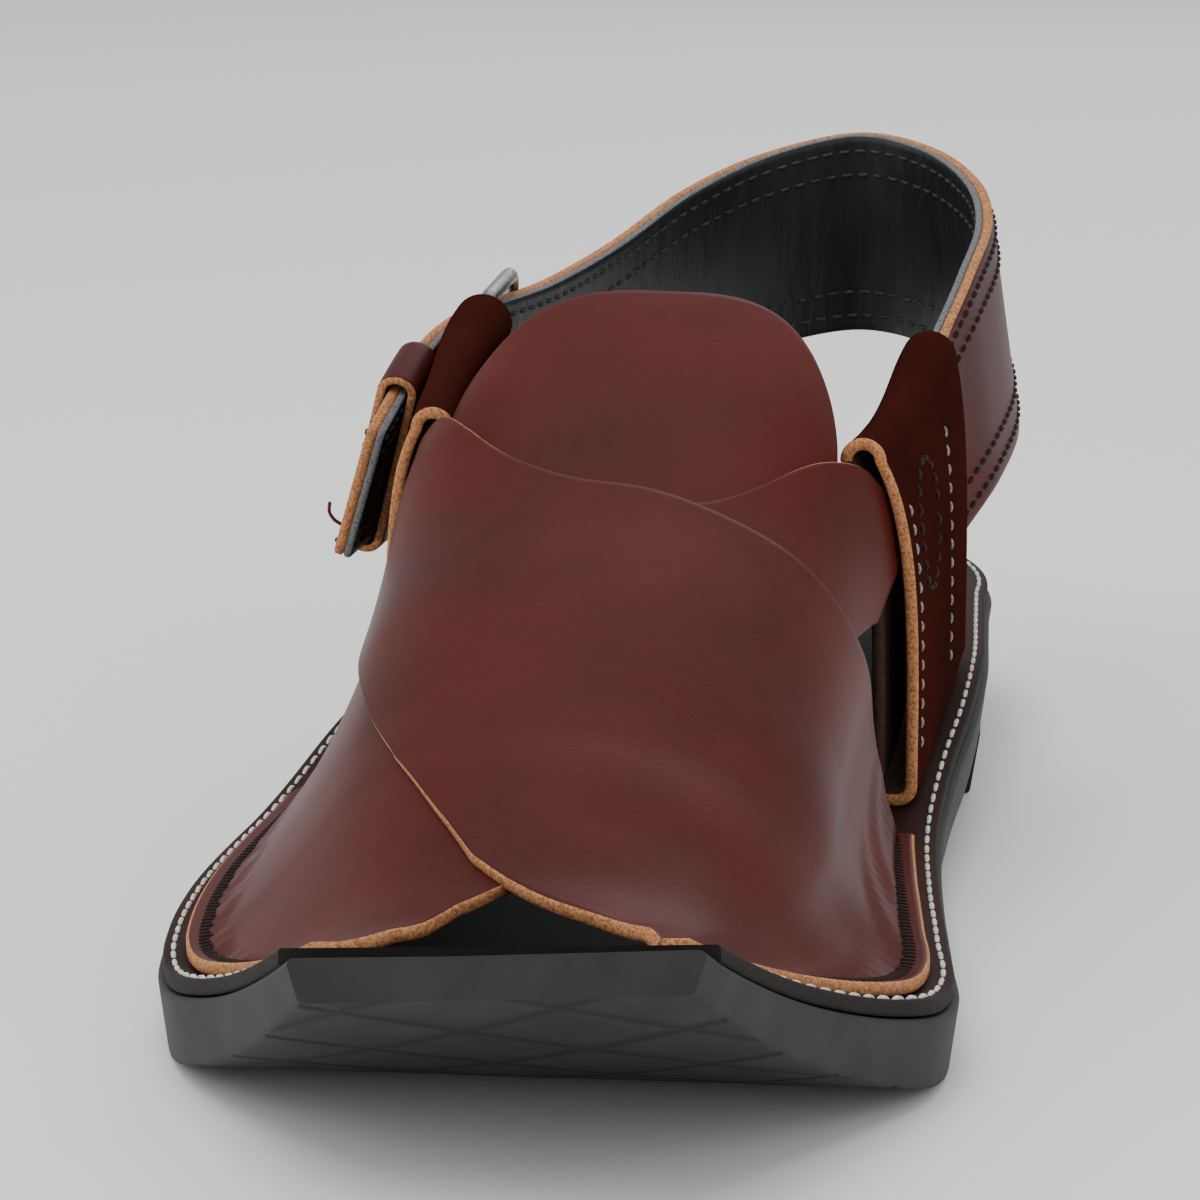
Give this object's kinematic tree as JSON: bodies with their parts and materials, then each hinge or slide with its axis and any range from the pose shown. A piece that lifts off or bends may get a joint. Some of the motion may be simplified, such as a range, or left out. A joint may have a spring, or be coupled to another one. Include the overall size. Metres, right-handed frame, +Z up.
{
  "type": "chappal",
  "caption": "Oxblood leather chappal with a square upturned toe, crossed vamp bands, rounded tongue and buckled heel strap, right shoe",
  "frame": {"origin": "centre of the heel's ground face", "axes": "X toward the medial side, Y from toe to heel, Z up"},
  "size_m": [0.1203, 0.2896, 0.1022],
  "materials": {
    "sole_rubber": "moulded black rubber, matt with fine scuffs",
    "platform_leather": "dark brown edge-stitched sole leather",
    "lining_leather": "black lining leather",
    "upper_leather": "smooth oxblood leather with a soft polish and raw tan edges",
    "buckle_steel": "grey plated steel wire"
  },
  "bodies": {
    "root": {"outsole": "sole_rubber", "heel": "sole_rubber", "platform": "platform_leather", "insole": "lining_leather", "upper": "upper_leather", "tongue": "upper_leather", "medial_sleeve": "upper_leather", "lateral_sleeve": "upper_leather", "heel_strap": "upper_leather", "keeper": "upper_leather", "chape": "upper_leather", "buckle_frame": "buckle_steel", "buckle_prong": "buckle_steel"}
  },
  "joints": []
}
